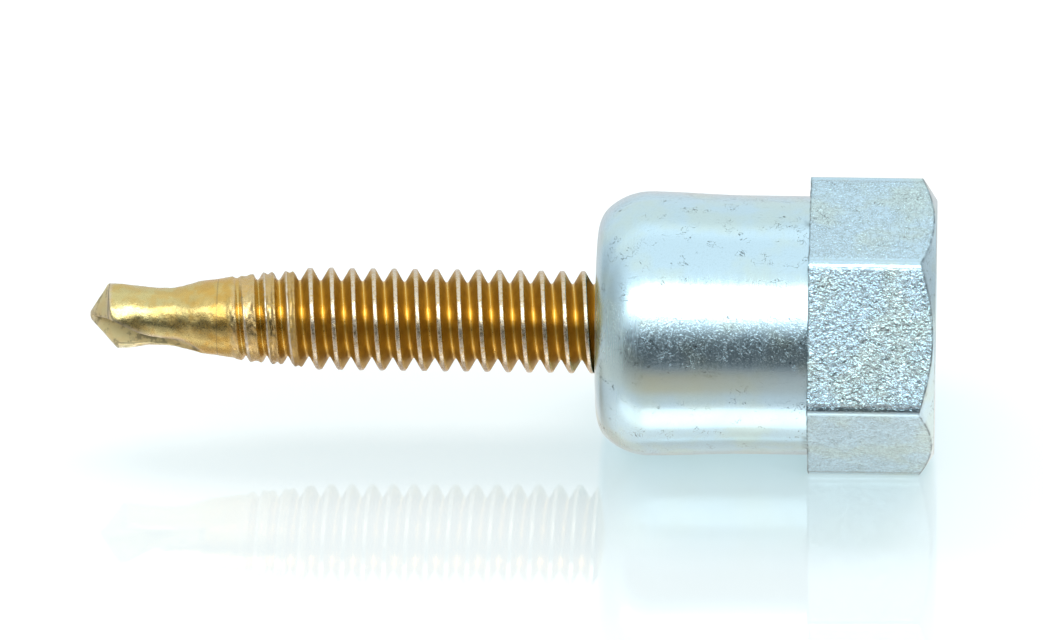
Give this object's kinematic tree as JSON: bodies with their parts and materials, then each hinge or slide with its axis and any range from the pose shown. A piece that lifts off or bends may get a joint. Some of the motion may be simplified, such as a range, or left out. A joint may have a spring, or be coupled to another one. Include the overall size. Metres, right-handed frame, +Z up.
{
  "type": "threaded rod hanger screw",
  "caption": "Self-drilling machine screw held in a bell-shaped nut whose hexagonal end has a blind tapped socket, for hanging threaded rod from a steel beam or deck.",
  "frame": {"origin": "centre of the nut's seat face, on the screw's axis", "axes": "+X along the screw's axis from the drill point towards the rod socket, +Z up, with a flat of the hexagon down"},
  "size_m": [0.0511, 0.018, 0.016],
  "materials": {
    "yellow_zinc": "yellow chromate on zinc plated steel, with worn silvery crests",
    "bright_zinc": "blue-white chromate on zinc plated steel, with fine turning scratches"
  },
  "bodies": {
    "root": {"drill_screw": "yellow_zinc", "rod_nut": "bright_zinc"}
  },
  "joints": []
}
